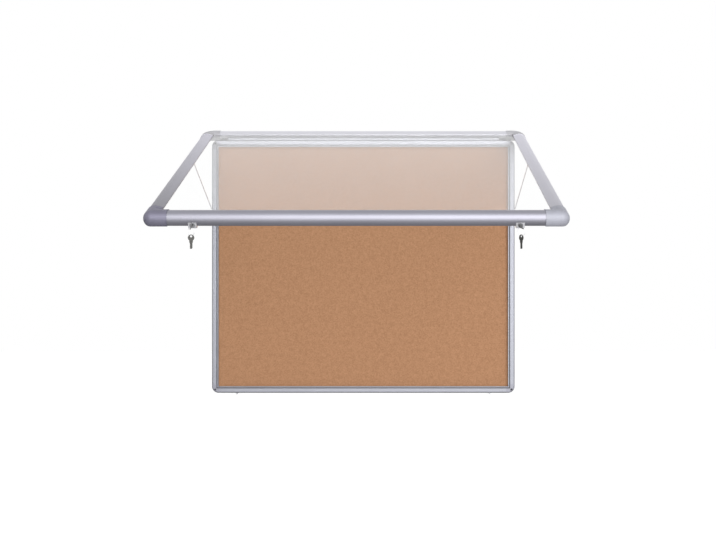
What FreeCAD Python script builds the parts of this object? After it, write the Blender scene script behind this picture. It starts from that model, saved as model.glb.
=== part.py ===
import FreeCAD, Part
import math
import os
import re

import Sketcher

# A lockable wall notice board with a top-hinged, glazed door, in millimetres.
# The origin is the centre of the case's back face, on the wall. X runs to the right, Z up,
# and the board's front faces -Y. The door is stored lifted, as it stands when it is in use.
# A round moulding of one section frames the door on all four sides. Its hollow back takes in
# the edges of the shallow case, and its top length turns on a bead along the case's top rail.

os.makedirs("parts", exist_ok=True)

doc = FreeCAD.newDocument("NoticeBoard")
sheet = doc.addObject("Spreadsheet::Sheet", "Sizes")

SIZES = [
    # Case, outside
    ("case_width", 1128),
    ("case_height", 940),
    ("case_depth", 34),
    # Case rail section: inward from the outer edge, and forward from the wall
    ("case_face", 24),
    ("case_wall", 2),
    ("case_edge_round", 5),
    ("case_flange", 12),
    ("case_flange_thick", 1.5),
    ("case_web", 1.5),
    ("groove_inner", 3),
    ("groove_width", 4),
    ("groove_depth", 3.5),
    ("lip_drop", 1),
    # How far a cut runs past a face, and how deep a joined piece is rooted in its neighbour
    ("cut_past", 0.2),
    ("root", 2),
    # Case corner pieces
    ("case_corner_leg", 33),
    ("spigot_length", 20),
    ("spigot_gap", 0.3),
    ("screw_inset", 12),
    ("wall_screw_hole", 5.2),
    ("wall_screw_sink", 10),
    ("boss_radius", 6),
    # Panels in the case
    ("back_sheet", 1),
    ("board_thick", 11),
    ("cork_thick", 4),
    ("panel_gap", 0.25),
    ("panel_edge_gap", 0.8),
    ("panel_corner_cut", 34),
    # Door moulding: a round tube with a glazing flange towards the window
    ("tube_radius", 23),
    ("tube_wall", 2),
    ("tube_to_case", 13),
    ("hinge_depth", 26),
    ("flange_angle", 75),
    ("tube_end_angle", 228),
    ("flange_reach", 24),
    ("rear_lip_reach", 22),
    ("flange_wall", 1.5),
    ("flange_back", 10),
    ("rear_lip", 1.6),
    ("pane_slot", 4.2),
    ("flange_root", 12),
    ("moulding_web", 1.8),
    # Hinge bead and its socket, which runs through the whole moulding
    ("bead_radius", 4),
    ("bead_clearance", 0.08),
    ("socket_wall", 2),
    ("neck_thick", 3),
    ("neck_margin", 3.5),
    ("bead_end_gap", 2),
    ("open_angle", 68.8),
    # Door corner caps
    ("cap_radius", 50),
    ("cap_leg", 68),
    ("cap_proud", 2),
    ("cap_spigot", 25),
    ("cap_spigot_gap", 0.15),
    ("cap_bulkhead", 3),
    ("nose_rib_angle", 110),
    ("nose_rib_drop", 0.4),
    # Glazing
    ("pane_thick", 3),
    ("gasket_base", 0.5),
    ("gasket_gap", 0.1),
    ("pane_edge_gap", 0.1),
    ("gasket_reach", 9.6),
    # Weather seal on the door's rear lip
    ("seal_inner", 21),
    ("seal_width", 5),
    ("seal_gap", 0.25),
    # Stays
    ("stay_arm", 370),
    ("stay_radius", 1.5),
    ("stay_bend", 2.4),
    ("stay_side_gap", 1),
    ("stay_fit", 0.05),
    ("stay_top_pin", 14.5),
    ("stay_low_pin", 12),
    ("stay_pin_spare", 0.8),
    ("stay_slot_gap", 0.25),
    ("slider_length", 14),
    ("slider_width", 8),
    ("slider_thick", 8),
    ("slider_gap", 0.3),
    ("pivot_block_length", 24),
    ("pivot_block_half", 8),
    ("pivot_block_back", 12),
    ("pivot_screw_place", 9),
    ("notch_gap", 0.2),
    ("web_gap", 0.1),
    # Small countersunk screws
    ("screw_radius", 1.5),
    ("screw_head", 2.8),
    ("screw_sink", 1.5),
    ("screw_fit", 0.1),
    ("screw_drive", 2),
    ("screw_past_web", 4),
    # Locks, on the bottom rail
    ("lock_inset", 103),
    ("lock_setback", 14),
    ("lock_notch_start", 5),
    ("lock_block_outer", 19.6),
    ("lock_block_inner", 6.5),
    ("lock_block_back", 22.8),
    ("lock_block_half", 12),
    ("lock_screw_place", 9.6),
    ("barrel_radius", 6.5),
    ("barrel_head_radius", 7.5),
    ("barrel_head", 1.2),
    ("barrel_fit", 0.1),
    ("nut_flats", 15),
    ("nut_thick", 3.5),
    ("plug_radius", 5),
    ("plug_fit", 0.05),
    ("plug_proud", 0.3),
    ("hex_flats", 7),
    ("hex_root", 1),
    # Cams, above the tube's middle. Angles are from straight outward, towards the front, when locked.
    ("unlock_turn", 90),
    ("cam_level", 7.5),
    ("cam_gap", 0.2),
    ("cam_thick", 2.4),
    ("cam_reach", 20),
    ("cam_root", 7),
    ("cam_lead_angle", 25),
    ("cam_span", 50),
    ("slot_lead", 5),
    ("cam_screw_radius", 1.5),
    ("cam_screw_length", 3),
    ("cam_screw_head", 3.2),
    ("cam_screw_head_thick", 2),
    # Keeps, under the case
    ("keep_angle", 45),
    ("keep_reach", 15),
    ("keep_stud_radius", 2.5),
    ("keep_gap", 0.3),
    ("keep_thick", 2),
    ("keep_overlap", 0.8),
    ("keep_base_back", 3),
    ("keep_base_half", 6),
    ("keep_screw_inset", 4.5),
    ("keep_screw_pitch", 8),
    ("keep_screw_past", 0.4),
    # Keys and rings
    ("key_angle", 30),
    ("key_thick", 1.8),
    ("key_width", 7.6),
    ("key_blade", 17.5),
    ("key_tip", 2),
    ("key_neck", 5.5),
    ("key_shoulder", 1.2),
    ("key_bow_overlap", 1),
    ("bow_radius", 9),
    ("key_hole_radius", 3.1),
    ("key_hole_bridge", 1.8),
    ("keyway_gap", 0.1),
    ("keyway_spare_depth", 0.5),
    ("bit_depth", 1.3),
    ("bit_pitch", 3.4),
    ("bit_step", 0.4),
    ("ring_radius", 11.5),
    ("ring_wire", 0.7),
    ("ring_angle", 25),
    ("spare_drop", 1.4),
    ("left_spare_turn", 50),
    ("right_spare_turn", 22),
]

for row, (alias, number) in enumerate(SIZES, start=1):
    cell = "A%d" % row
    sheet.set(cell, str(number))
    sheet.setAlias(cell, alias)
doc.recompute()

ALIASES = {alias for alias, number in SIZES}

X_AXIS = FreeCAD.Vector(1, 0, 0)
Y_AXIS = FreeCAD.Vector(0, 1, 0)
Z_AXIS = FreeCAD.Vector(0, 0, 1)


def cells(text):
    """The expression with each size's name turned into its place in the sheet."""
    def point_to_cell(word):
        return "Sizes." + word[0] if word[0] in ALIASES else word[0]
    return re.sub("[a-z_]+", point_to_cell, str(text))


def value(text):
    """What an expression of sizes comes to."""
    return float(sheet.evalExpression(cells(text)))


def bind(thing, name, text):
    """Tie a property to an expression of sizes."""
    thing.setExpression(name, cells(text))


# Sketches

def straight(x, y):
    """A corner of an outline, from which a straight edge leaves."""
    return (x, y, None)


def curved(x, y, centre_x, centre_y, radius, direction):
    """A corner of an outline, from which an arc leaves: direction is 1 anticlockwise, -1 clockwise."""
    return (x, y, (centre_x, centre_y, radius, direction))


def draw_outline(sketch, corners):
    """Draw a closed outline in a sketch, with every corner's place tied to the sheet."""
    places = [(value(x), value(y)) for x, y, arc in corners]
    first = sketch.GeometryCount
    ends = []
    for index, (x, y, arc) in enumerate(corners):
        start = FreeCAD.Vector(places[index][0], places[index][1], 0)
        after = places[(index + 1) % len(corners)]
        stop = FreeCAD.Vector(after[0], after[1], 0)
        if arc is None:
            sketch.addGeometry(Part.LineSegment(start, stop))
            ends.append((1, 2))
            continue
        centre_x, centre_y, radius, direction = arc
        centre = FreeCAD.Vector(value(centre_x), value(centre_y), 0)
        circle = Part.Circle(centre, Z_AXIS, value(radius))
        from_angle = math.atan2(start.y - centre.y, start.x - centre.x)
        to_angle = math.atan2(stop.y - centre.y, stop.x - centre.x)
        if direction < 0:
            from_angle, to_angle = to_angle, from_angle
        if to_angle < from_angle:
            to_angle += 2 * math.pi
        sketch.addGeometry(Part.ArcOfCircle(circle, from_angle, to_angle))
        ends.append((1, 2) if direction > 0 else (2, 1))
    constraints = []
    bindings = []
    for index, (x, y, arc) in enumerate(corners):
        geometry = first + index
        following = (index + 1) % len(corners)
        begin, end = ends[index]
        bindings.append((len(constraints), x))
        constraints.append(Sketcher.Constraint("DistanceX", -1, 1, geometry, begin, places[index][0]))
        bindings.append((len(constraints), y))
        constraints.append(Sketcher.Constraint("DistanceY", -1, 1, geometry, begin, places[index][1]))
        constraints.append(
            Sketcher.Constraint("Coincident", geometry, end, first + following, ends[following][0]))
        if arc is not None:
            bindings.append((len(constraints), arc[2]))
            constraints.append(Sketcher.Constraint("Radius", geometry, value(arc[2])))
    offset = sketch.ConstraintCount
    sketch.addConstraint(constraints)
    for index, text in bindings:
        sketch.setExpression("Constraints[%d]" % (offset + index), cells(text))


def draw_circle(sketch, x, y, radius):
    """Draw a circle in a sketch, with its place and radius tied to the sheet."""
    geometry = sketch.GeometryCount
    centre = FreeCAD.Vector(value(x), value(y), 0)
    sketch.addGeometry(Part.Circle(centre, Z_AXIS, value(radius)))
    for kind, text in (("DistanceX", x), ("DistanceY", y)):
        index = sketch.addConstraint(Sketcher.Constraint(kind, -1, 1, geometry, 3, value(text)))
        sketch.setExpression("Constraints[%d]" % index, cells(text))
    index = sketch.addConstraint(Sketcher.Constraint("Radius", geometry, value(radius)))
    sketch.setExpression("Constraints[%d]" % index, cells(radius))


def polygon(*points):
    """An outline of straight edges."""
    return [straight(x, y) for x, y in points]


def rounded_rectangle(half_width, half_height, radius):
    """A rectangle's outline about the origin, with rounded corners."""
    w, h, r = "(%s)" % half_width, "(%s)" % half_height, "(%s)" % radius
    near_w, near_h = "(%s - %s)" % (w, r), "(%s - %s)" % (h, r)
    return [
        straight("-" + near_w, "-" + h),
        curved(near_w, "-" + h, near_w, "-" + near_h, r, 1),
        straight(w, "-" + near_h),
        curved(w, near_h, near_w, near_h, r, 1),
        straight(near_w, h),
        curved("-" + near_w, h, "-" + near_w, near_h, r, 1),
        straight("-" + w, near_h),
        curved("-" + w, "-" + near_h, "-" + near_w, "-" + near_h, r, 1),
    ]


# Bodies and their features

def new_body(label):
    body = doc.addObject("PartDesign::Body", "body_" + label)
    body.Label = label
    return body


def body_sketch(body, name, role="XY_Plane", height="0"):
    """A sketch on one of the body's own planes, lifted along the plane's normal."""
    sketch = body.newObject("Sketcher::SketchObject", name + "_" + body.Label)
    plane = [feature for feature in body.Origin.OriginFeatures if feature.Role == role][0]
    sketch.AttachmentSupport = [(plane, "")]
    sketch.MapMode = "FlatFace"
    bind(sketch, "AttachmentOffset.Base.z", height)
    return sketch


def pad(body, sketch, length, downward=False):
    feature = body.newObject("PartDesign::Pad", "pad_" + sketch.Label)
    feature.Profile = sketch
    bind(feature, "Length", length)
    feature.Reversed = downward
    sketch.Visibility = False
    doc.recompute()
    return feature


def pocket(body, sketch, length, upward=False):
    """Cut a sketch's outline out of the body, below the sketch unless upward is set."""
    before = body.Shape.Volume
    feature = body.newObject("PartDesign::Pocket", "pocket_" + sketch.Label)
    feature.Profile = sketch
    bind(feature, "Length", length)
    feature.Reversed = upward
    doc.recompute()
    if body.Shape.Volume >= before:
        raise RuntimeError("The pocket %s cuts nothing" % feature.Label)
    return feature


def round_edges(body, name, radius, wanted):
    """Round the edges that the test picks."""
    doc.recompute()
    names = ["Edge%d" % (number + 1) for number, edge in enumerate(body.Shape.Edges) if wanted(edge)]
    base = body.Tip
    feature = body.newObject("PartDesign::Fillet", name + "_" + body.Label)
    feature.Base = (base, names)
    bind(feature, "Radius", radius)
    body.Tip = feature
    doc.recompute()
    return feature


def place_feature(feature, x, y, z):
    bind(feature, "Placement.Base.x", x)
    bind(feature, "Placement.Base.y", y)
    bind(feature, "Placement.Base.z", z)


def box_feature(body, name, low, high, adds):
    """Add or take away a box between two corners of the body's own frame."""
    kind = "PartDesign::AdditiveBox" if adds else "PartDesign::SubtractiveBox"
    feature = body.newObject(kind, name + "_" + body.Label)
    for side, start, stop in zip(("Length", "Width", "Height"), low, high):
        bind(feature, side, "(%s) - (%s)" % (stop, start))
    place_feature(feature, *low)
    doc.recompute()
    return feature


def cylinder_feature(body, name, start, direction, radius, length, adds):
    """Add or take away a cylinder that runs from a point along a direction."""
    kind = "PartDesign::AdditiveCylinder" if adds else "PartDesign::SubtractiveCylinder"
    feature = body.newObject(kind, name + "_" + body.Label)
    feature.Placement = FreeCAD.Placement(FreeCAD.Vector(), FreeCAD.Rotation(Z_AXIS, direction))
    bind(feature, "Radius", radius)
    bind(feature, "Height", length)
    place_feature(feature, *start)
    doc.recompute()
    return feature


def cone_cut(body, name, start, direction, wide, narrow, length):
    """Take away a countersink whose wide end lies at the start."""
    feature = body.newObject("PartDesign::SubtractiveCone", name + "_" + body.Label)
    feature.Placement = FreeCAD.Placement(FreeCAD.Vector(), FreeCAD.Rotation(Z_AXIS, direction))
    bind(feature, "Radius1", wide)
    bind(feature, "Radius2", narrow)
    bind(feature, "Height", length)
    place_feature(feature, *start)
    doc.recompute()
    return feature


# Solids from primitives

def box(name, low, high):
    """A box between two corners."""
    thing = doc.addObject("Part::Box", name)
    for side, start, stop in zip(("Length", "Width", "Height"), low, high):
        bind(thing, side, "(%s) - (%s)" % (stop, start))
    place_feature(thing, *low)
    return thing


def cylinder(name, start, direction, radius, length):
    thing = doc.addObject("Part::Cylinder", name)
    thing.Placement = FreeCAD.Placement(FreeCAD.Vector(), FreeCAD.Rotation(Z_AXIS, direction))
    bind(thing, "Radius", radius)
    bind(thing, "Height", length)
    place_feature(thing, *start)
    return thing


def cone(name, start, direction, first_radius, last_radius, length):
    thing = doc.addObject("Part::Cone", name)
    thing.Placement = FreeCAD.Placement(FreeCAD.Vector(), FreeCAD.Rotation(Z_AXIS, direction))
    bind(thing, "Radius1", first_radius)
    bind(thing, "Radius2", last_radius)
    bind(thing, "Height", length)
    place_feature(thing, *start)
    return thing


def hexagon(name, start, direction, across_flats, length):
    """A hexagonal prism along a direction."""
    thing = doc.addObject("Part::Prism", name)
    thing.Polygon = 6
    thing.Placement = FreeCAD.Placement(FreeCAD.Vector(), FreeCAD.Rotation(Z_AXIS, direction))
    bind(thing, "Circumradius", "(%s) / sqrt(3)" % across_flats)
    bind(thing, "Height", length)
    place_feature(thing, *start)
    return thing


def fuse(name, *things):
    fused = doc.addObject("Part::MultiFuse", name)
    fused.Shapes = list(things)
    fused.Refine = True
    doc.recompute()
    return fused


def cut(name, base, *tools):
    """The base with the tools taken away, each of which has to cut something."""
    result = base
    for number, tool in enumerate(tools):
        last = number == len(tools) - 1
        step = doc.addObject("Part::Cut", name if last else "%s_step_%d" % (name, number))
        step.Base = result
        step.Tool = tool
        step.Refine = True
        doc.recompute()
        if step.Shape.Volume >= result.Shape.Volume:
            raise RuntimeError("A cut of %s removes nothing" % name)
        result = step
    return result


def group(name, things):
    """Several separate solids that share one node."""
    compound = doc.addObject("Part::Compound", name)
    compound.Links = list(things)
    doc.recompute()
    return compound


PARTS = []


def keep_part(thing, label, placement=None):
    """Name a finished sub-part, set it in its place and list it for writing."""
    thing.Label = label
    if placement is not None:
        thing.Placement = placement
    PARTS.append(thing)
    return thing


# Frames. A rail's own X runs from its outer edge towards the window, Y forward and Z along it.
# Sides are numbered 0 bottom, 1 left, 2 top and 3 right.

BOTTOM, LEFT, TOP, RIGHT = range(4)
RAIL_AXES = FreeCAD.Rotation(Z_AXIS, -Y_AXIS, X_AXIS, "ZXY")


def side_turn(side):
    return FreeCAD.Placement(FreeCAD.Vector(), FreeCAD.Rotation(Y_AXIS, 90 * side))


def half_across(side):
    """From the board's centre to the case's edge on this side."""
    return value("case_height / 2" if side in (BOTTOM, TOP) else "case_width / 2")


def half_along(side):
    """Half of the case's size along this side."""
    return value("case_width / 2" if side in (BOTTOM, TOP) else "case_height / 2")


def case_frame(side, start):
    """The frame of a case rail whose own Z starts at a distance from the side's middle."""
    corner = FreeCAD.Vector(start, 0, -half_across(side))
    return side_turn(side).multiply(FreeCAD.Placement(corner, RAIL_AXES))


HINGE_HEIGHT = value("case_height / 2 + tube_to_case")
HINGE_POINT = FreeCAD.Vector(0, -value("hinge_depth"), HINGE_HEIGHT)
SWING = FreeCAD.Placement(
    FreeCAD.Vector(), FreeCAD.Rotation(-X_AXIS, value("open_angle")), HINGE_POINT)


def door_frame(side, start):
    """The frame of a door rail, about its tube's centre line, with the door lifted."""
    middle = FreeCAD.Vector(start, -value("hinge_depth"), -half_across(side) - value("tube_to_case"))
    closed = side_turn(side).multiply(FreeCAD.Placement(middle, RAIL_AXES))
    return SWING.multiply(closed)


SIDE_NAMES = {BOTTOM: "bottom", LEFT: "left", TOP: "top", RIGHT: "right"}


# Case rails

PANEL_FRONT = "case_flange_thick + back_sheet + board_thick + cork_thick + 2 * panel_gap"
WEB_FRONT = PANEL_FRONT + " + case_web"
GROOVE_END = "case_face - groove_inner"
GROOVE_START = "case_face - groove_inner - groove_width"
GROOVE_FLOOR = "case_depth - groove_depth"
CHAMBER_FRONT = "case_depth - case_wall"
CHAMBER_BELOW_GROOVE = "case_depth - groove_depth - case_wall"

CASE_SECTION = [
    straight("0", "0"),
    straight("case_flange", "0"),
    straight("case_flange", "case_flange_thick"),
    straight("case_wall", "case_flange_thick"),
    straight("case_wall", PANEL_FRONT),
    straight("case_face", PANEL_FRONT),
    straight("case_face", "case_depth - lip_drop"),
    straight(GROOVE_END, "case_depth - lip_drop"),
    straight(GROOVE_END, GROOVE_FLOOR),
    straight(GROOVE_START, GROOVE_FLOOR),
    straight(GROOVE_START, "case_depth"),
    curved("case_edge_round", "case_depth",
           "case_edge_round", "case_depth - case_edge_round", "case_edge_round", 1),
    straight("0", "case_depth - case_edge_round"),
]

CASE_CHAMBER = polygon(
    ("case_wall", WEB_FRONT),
    ("case_face - case_wall", WEB_FRONT),
    ("case_face - case_wall", CHAMBER_BELOW_GROOVE),
    (GROOVE_START + " - case_wall", CHAMBER_BELOW_GROOVE),
    (GROOVE_START + " - case_wall", CHAMBER_FRONT),
    ("2 * case_wall", CHAMBER_FRONT),
    ("case_wall", "case_depth - 2 * case_wall"),
)

SPIGOT_LOW = ("case_wall + spigot_gap", WEB_FRONT + " + spigot_gap")
SPIGOT_HIGH = ("case_face - case_wall - spigot_gap", CHAMBER_BELOW_GROOVE + " - spigot_gap")


def case_rail(side):
    """One straight rail of the case, cut square where it meets the corner pieces."""
    body = new_body("case_%s_rail" % SIDE_NAMES[side])
    size = "case_width" if side in (BOTTOM, TOP) else "case_height"
    length = size + " - 2 * case_corner_leg"
    section = body_sketch(body, "section")
    draw_outline(section, CASE_SECTION)
    draw_outline(section, CASE_CHAMBER)
    pad(body, section, length)
    placement = case_frame(side, -half_along(side) + value("case_corner_leg"))
    return body, length, placement


def case_top_rail():
    """The top rail also carries the neck and bead that the door turns on."""
    body, length, placement = case_rail(TOP)
    shorter = "cap_leg + cap_spigot - case_corner_leg - tube_radius - tube_to_case + bead_end_gap"
    low = ("-tube_to_case", "hinge_depth - neck_thick / 2", shorter)
    high = ("case_wall / 2", "hinge_depth + neck_thick / 2", "%s - (%s)" % (length, shorter))
    box_feature(body, "neck", low, high, True)
    cylinder_feature(body, "bead", ("-tube_to_case", "hinge_depth", shorter), Z_AXIS,
                     "bead_radius", "%s - 2 * (%s)" % (length, shorter), True)
    keep_part(body, body.Label, placement)


def case_side_rail(side):
    """A side rail, with the long slot that a stay's lower end travels in."""
    body, length, placement = case_rail(side)
    below_top = "2 * stay_arm * cos(open_angle) - tube_to_case - case_corner_leg"
    lowest = "2 * stay_arm - tube_to_case - case_corner_leg"
    reach = "stay_radius + stay_slot_gap"
    if side == LEFT:
        start = "%s - (%s)" % (below_top, reach)
        stop = "%s + %s" % (lowest, reach)
    else:
        start = "%s - (%s) - (%s)" % (length, lowest, reach)
        stop = "%s - (%s) + %s" % (length, below_top, reach)
    low = ("-case_wall", "hinge_depth - (%s)" % reach, start)
    high = ("case_wall + cut_past", "hinge_depth + %s" % reach, stop)
    box_feature(body, "stay_slot", low, high, False)
    keep_part(body, body.Label, placement)


LOCK_SIDES = {"left": -1, "right": 1}
LOCK_OUT = "(case_width / 2 - lock_inset)"
KEEP_OUT = "(keep_reach * cos(keep_angle))"
KEEP_STUD_DEPTH = "(hinge_depth - lock_setback + keep_reach * sin(keep_angle))"
KEEP_SCREW_DEPTHS = (
    "keep_base_back + keep_screw_inset", "keep_base_back + keep_screw_inset + keep_screw_pitch")


def case_bottom_rail():
    """The bottom rail, drilled for the screws of the two lock keeps."""
    body, length, placement = case_rail(BOTTOM)
    for name, sign in LOCK_SIDES.items():
        for number, depth in enumerate(KEEP_SCREW_DEPTHS):
            across = "(%s) / 2 + %d * (%s + %s)" % (length, sign, LOCK_OUT, KEEP_OUT)
            cylinder_feature(body, "keep_hole_%s_%d" % (name, number), ("-case_wall", depth, across),
                             X_AXIS, "screw_radius + screw_fit", "2 * case_wall + cut_past", False)
    keep_part(body, body.Label, placement)


CORNER_NAMES = {
    BOTTOM: "bottom_left", LEFT: "top_left", TOP: "top_right", RIGHT: "bottom_right"}


def case_corner(side):
    """A corner piece: a square block, rounded outside, with spigots that enter both rails."""
    body = new_body("case_%s_corner" % CORNER_NAMES[side])
    leg = "case_corner_leg"
    face = "case_face"
    outline = [
        straight(face, "0"),
        straight(leg, "0"),
        straight(leg, face),
        straight(face, face),
        straight(face, leg),
        straight("0", leg),
        curved("0", face, face, face, face, 1),
    ]
    plan = body_sketch(body, "plan")
    draw_outline(plan, outline)
    pad(body, plan, "case_depth")
    inner = "case_face - case_wall"
    hollow = [
        straight(face, "case_wall"),
        straight("2 * " + leg, "case_wall"),
        straight("2 * " + leg, "2 * " + leg),
        straight("case_wall", "2 * " + leg),
        curved("case_wall", face, face, face, inner, 1),
    ]
    rear = body_sketch(body, "rear_hollow")
    draw_outline(rear, hollow)
    pocket(body, rear, PANEL_FRONT, upward=True)
    groove = polygon(
        (GROOVE_START, "2 * " + leg), (GROOVE_START, GROOVE_START), ("2 * " + leg, GROOVE_START),
        ("2 * " + leg, GROOVE_END), (GROOVE_END, GROOVE_END), (GROOVE_END, "2 * " + leg))
    front = body_sketch(body, "groove", height="case_depth")
    draw_outline(front, groove)
    pocket(body, front, "groove_depth")

    def is_front_outer(edge):
        """The front edge along the outside, its two straight parts and the arc between them."""
        box_of = edge.BoundBox
        on_front = abs(box_of.ZMin - value("case_depth")) < 0.01 and box_of.ZLength < 0.01
        straight_outside = box_of.XMax < 0.01 or box_of.YMax < 0.01
        arc_outside = edge.Curve.TypeId == "Part::GeomCircle"
        return on_front and (straight_outside or arc_outside)

    round_edges(body, "front_round", "case_edge_round", is_front_outer)
    across_low, up_low = SPIGOT_LOW
    across_high, up_high = SPIGOT_HIGH
    reach = leg + " + spigot_length"
    rooted = leg + " - root"
    box_feature(body, "spigot_first", (across_low, rooted, up_low), (across_high, reach, up_high), True)
    box_feature(body, "spigot_second", (rooted, across_low, up_low), (reach, across_high, up_high), True)
    centre = ("screw_inset", "screw_inset")
    cylinder_feature(body, "boss", centre + ("0",), Z_AXIS, "boss_radius", PANEL_FRONT + " + root / 2", True)
    cylinder_feature(body, "screw_hole", centre + ("-cut_past",), Z_AXIS,
                     "wall_screw_hole / 2", "case_depth + 2 * cut_past", False)
    cone_cut(body, "countersink", centre + ("case_depth",), -Z_AXIS, "wall_screw_sink / 2",
             "wall_screw_hole / 2", "(wall_screw_sink - wall_screw_hole) / 2")
    frame = FreeCAD.Rotation(X_AXIS, Z_AXIS, -Y_AXIS, "ZXY")
    corner = FreeCAD.Vector(-half_along(side), 0, -half_across(side))
    keep_part(body, body.Label, side_turn(side).multiply(FreeCAD.Placement(corner, frame)))


# Panels in the case, seen from the front, cut off at the corners to clear the screw bosses

PANEL_INSET = "case_wall + panel_edge_gap"


def panel(label, back, thickness):
    """A sheet that fills the case behind the rails."""
    body = new_body(label)
    half_w = "case_width / 2 - (%s)" % PANEL_INSET
    half_h = "case_height / 2 - (%s)" % PANEL_INSET
    short_w = half_w + " - panel_corner_cut"
    short_h = half_h + " - panel_corner_cut"
    plan = body_sketch(body, "plan", role="XZ_Plane", height=back)
    draw_outline(plan, polygon(
        ("-(%s)" % short_w, "-(%s)" % half_h), (short_w, "-(%s)" % half_h),
        (half_w, "-(%s)" % short_h), (half_w, short_h),
        (short_w, half_h), ("-(%s)" % short_w, half_h),
        ("-(%s)" % half_w, short_h), ("-(%s)" % half_w, "-(%s)" % short_h)))
    pad(body, plan, thickness)
    keep_part(body, label)


# Door moulding. Angles are anticlockwise from the window direction, as seen along the rail.

def on_circle(radius, angle):
    return "(%s) * cos(%s)" % (radius, angle), "(%s) * sin(%s)" % (radius, angle)


TUBE_INNER = "(tube_radius - tube_wall)"
SOCKET_INNER = "(bead_radius + bead_clearance)"
SOCKET_OUTER = "(bead_radius + bead_clearance + socket_wall)"
NECK_HALF_ANGLE = "(asin(neck_thick / 2 / %s) / 1 deg + neck_margin)" % SOCKET_INNER
SOCKET_FROM = NECK_HALF_ANGLE
SOCKET_TO = "(360 - open_angle - %s)" % NECK_HALF_ANGLE
WEB_AT_TUBE = "-sqrt(%s * %s - moulding_web * moulding_web / 4)" % (TUBE_INNER, TUBE_INNER)
WEB_AT_SOCKET = "-sqrt(%s * %s - moulding_web * moulding_web / 4)" % (SOCKET_OUTER, SOCKET_OUTER)
FLANGE_START_X = "tube_radius * cos(flange_angle)"
FLANGE_START_Y = "tube_radius * sin(flange_angle)"
FLANGE_SLOPE = "tan(90 - flange_angle)"
SLOT_BACK = "flange_back + rear_lip"
SLOT_FRONT = "flange_back + rear_lip + pane_slot"
SLOT_FLOOR = "flange_root + flange_wall"


def flange_front(across, extra="0"):
    """Height of the flange's sloping front at a distance from the tube's centre."""
    return "%s + (%s) - ((%s) - %s) * %s" % (FLANGE_START_Y, extra, across, FLANGE_START_X, FLANGE_SLOPE)


def glazing_flange(proud):
    """The flange's inside, the pane's slot and the tip, from the tube's wall round to the front."""
    return [
        straight("flange_root", flange_front("flange_root") + " - tube_wall"),
        straight("flange_root", "flange_back"),
        straight("rear_lip_reach", "flange_back"),
        straight("rear_lip_reach", SLOT_BACK),
        straight(SLOT_FLOOR, SLOT_BACK),
        straight(SLOT_FLOOR, SLOT_FRONT),
        straight("flange_reach", SLOT_FRONT),
        straight("flange_reach", flange_front("flange_reach", proud)),
    ]


def arc_from(radius, angle, direction):
    x, y = on_circle(radius, angle)
    return curved(x, y, "0", "0", radius, direction)


def line_from(radius, angle):
    x, y = on_circle(radius, angle)
    return straight(x, y)


MOULDING_SECTION = [
    arc_from("tube_radius", "flange_angle", 1),
    line_from("tube_radius", "tube_end_angle"),
    arc_from(TUBE_INNER, "tube_end_angle", -1),
    straight(WEB_AT_TUBE, "-moulding_web / 2"),
    curved(WEB_AT_SOCKET, "-moulding_web / 2", "0", "0", SOCKET_OUTER, 1),
    line_from(SOCKET_OUTER, SOCKET_TO),
    arc_from(SOCKET_INNER, SOCKET_TO, -1),
    line_from(SOCKET_INNER, SOCKET_FROM),
    arc_from(SOCKET_OUTER, SOCKET_FROM, 1),
    straight(WEB_AT_SOCKET, "moulding_web / 2"),
    curved(WEB_AT_TUBE, "moulding_web / 2", "0", "0", TUBE_INNER, -1),
    line_from(TUBE_INNER, "flange_angle"),
] + glazing_flange("0")

CAP_OUTER = "(tube_radius + cap_proud)"



def round_wall(outer, inner, last_angle):
    """A cap's round wall, from where the glazing flange leaves it round to an angle."""
    return [
        arc_from(outer, "flange_angle", 1),
        line_from(outer, last_angle),
        arc_from(inner, last_angle, -1),
        line_from(inner, "flange_angle"),
    ]


CAP_WALL = round_wall(CAP_OUTER, TUBE_INNER, "tube_end_angle")
CAP_SECTION = CAP_WALL + glazing_flange("cap_proud")
RIB_WALL = round_wall(
    "(%s - nose_rib_drop)" % CAP_OUTER, "(%s - nose_rib_drop)" % TUBE_INNER, "nose_rib_angle")
RIB_SECTION = RIB_WALL + glazing_flange("cap_proud - nose_rib_drop")
NOSE_SECTION = [
    curved("0", CAP_OUTER, "0", "0", CAP_OUTER, 1),
    line_from(CAP_OUTER, "tube_end_angle"),
    arc_from(TUBE_INNER, "tube_end_angle", -1),
    straight("0", TUBE_INNER),
]

CAP_STRAIGHT = "(cap_leg - cap_radius)"
CAP_TURN = "(cap_radius - tube_radius)"


def door_rail(side):
    """One straight length of the door's moulding, between two corner caps."""
    body = new_body("door_%s_rail" % SIDE_NAMES[side])
    size = "case_width" if side in (BOTTOM, TOP) else "case_height"
    length = size + " + 2 * (tube_to_case + tube_radius) - 2 * cap_leg"
    section = body_sketch(body, "section")
    draw_outline(section, MOULDING_SECTION)
    pad(body, section, length)
    start = -value(length) / 2
    return body, length, door_frame(side, start)


def door_top_rail():
    body, length, placement = door_rail(TOP)
    keep_part(body, body.Label, placement)


def pivot_along(side, length):
    """The stay pivot's place along a side rail."""
    above_middle = "case_height / 2 + tube_to_case - stay_arm"
    sign = "-" if side == LEFT else "+"
    return "(%s) / 2 %s (%s)" % (length, sign, above_middle)


def door_side_rail(side):
    """A side rail, with its socket cut away where the stay's pivot block sits."""
    body, length, placement = door_rail(side)
    middle = pivot_along(side, length)
    half = "(pivot_block_length / 2 + notch_gap)"
    low = ("-(%s) - notch_gap" % SOCKET_OUTER, "-pivot_block_half", "%s - %s" % (middle, half))
    high = ("pivot_block_half", "pivot_block_half", "%s + %s" % (middle, half))
    box_feature(body, "pivot_notch", low, high, False)
    cylinder_feature(body, "pivot_screw_hole", ("-pivot_screw_place", "-moulding_web", middle), Y_AXIS,
                     "screw_radius + screw_fit", "2 * moulding_web", False)
    keep_part(body, body.Label, placement)


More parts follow.
